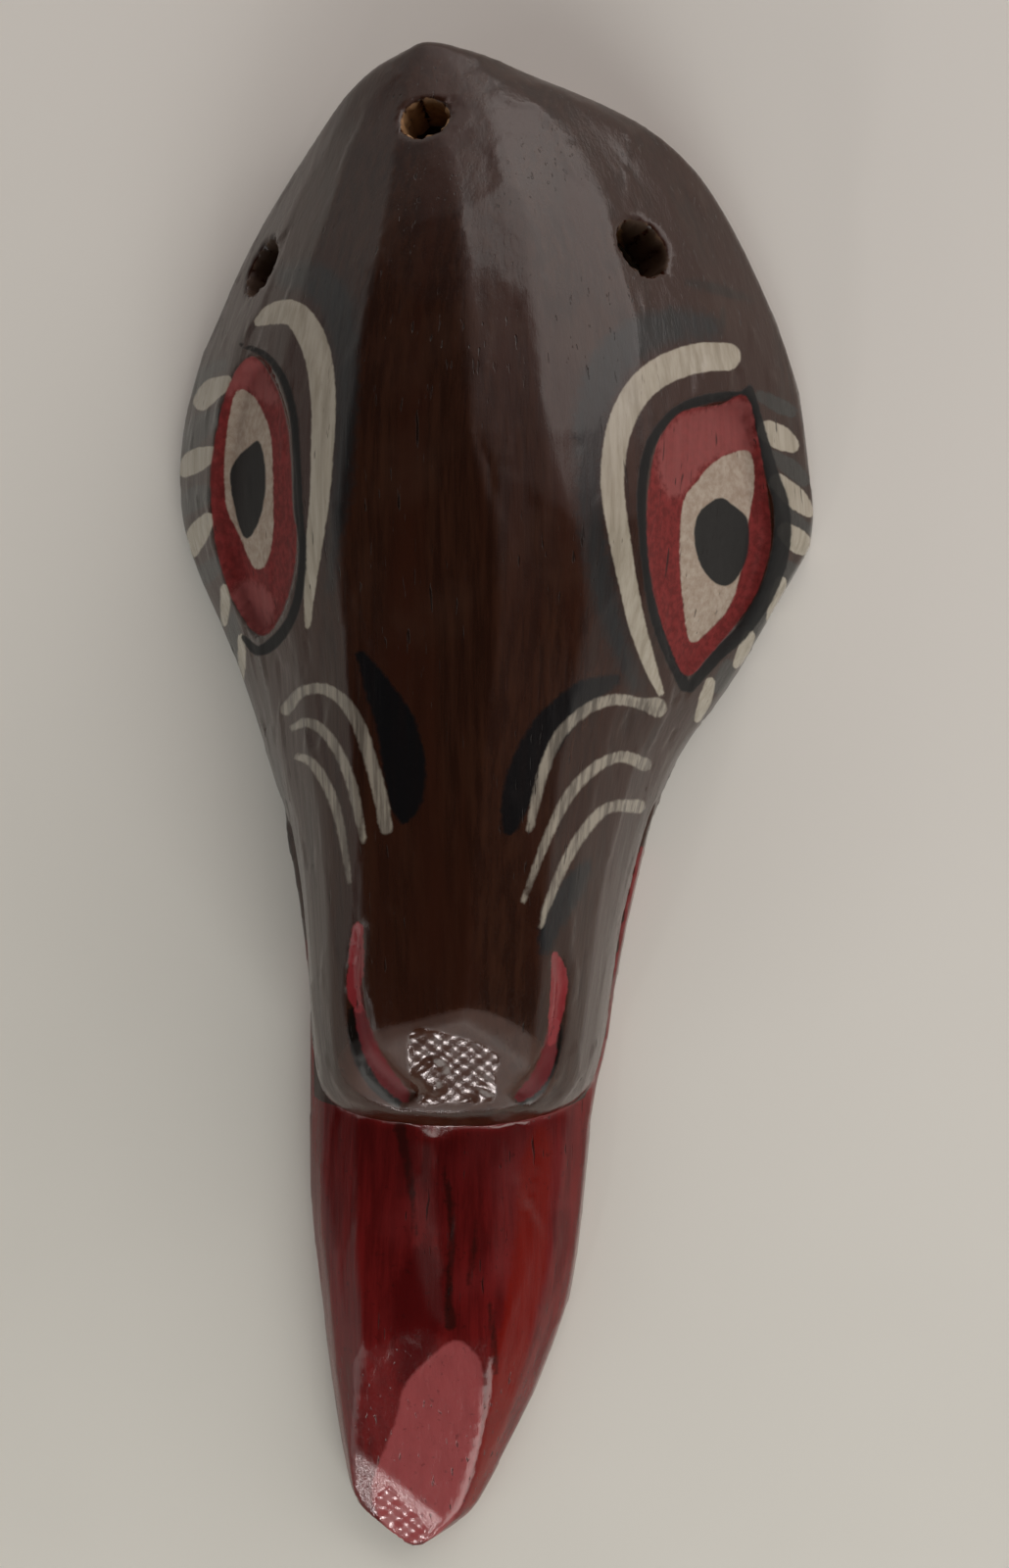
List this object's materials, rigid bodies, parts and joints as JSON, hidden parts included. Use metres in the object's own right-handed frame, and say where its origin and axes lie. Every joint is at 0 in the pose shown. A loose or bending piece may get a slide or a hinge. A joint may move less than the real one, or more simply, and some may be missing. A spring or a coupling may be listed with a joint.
{
  "type": "carved wooden animal mask",
  "caption": "Long-snouted wooden animal mask with sunk eyes, nostril cuts and a long tongue, drilled for ears and hanging, hollowed at the back to fit a face.",
  "frame": {"origin": "centre of the bounding box's underside, on the flat sawn back that the mask lies on", "axes": "+Y to the crown of the head, -Y to the tip of the tongue, +Z out of the face, +X to the right of someone who looks at the face"},
  "size_m": [0.1728, 0.4, 0.0778],
  "materials": {
    "painted_wood": "dark brown oil paint under gloss varnish, with white, red, blue-grey and black painted eyes, lashes and whiskers, and a red mouth and tongue; bare wood in the holes and at the back"
  },
  "bodies": {
    "root": {"mask": "painted_wood"}
  },
  "joints": []
}
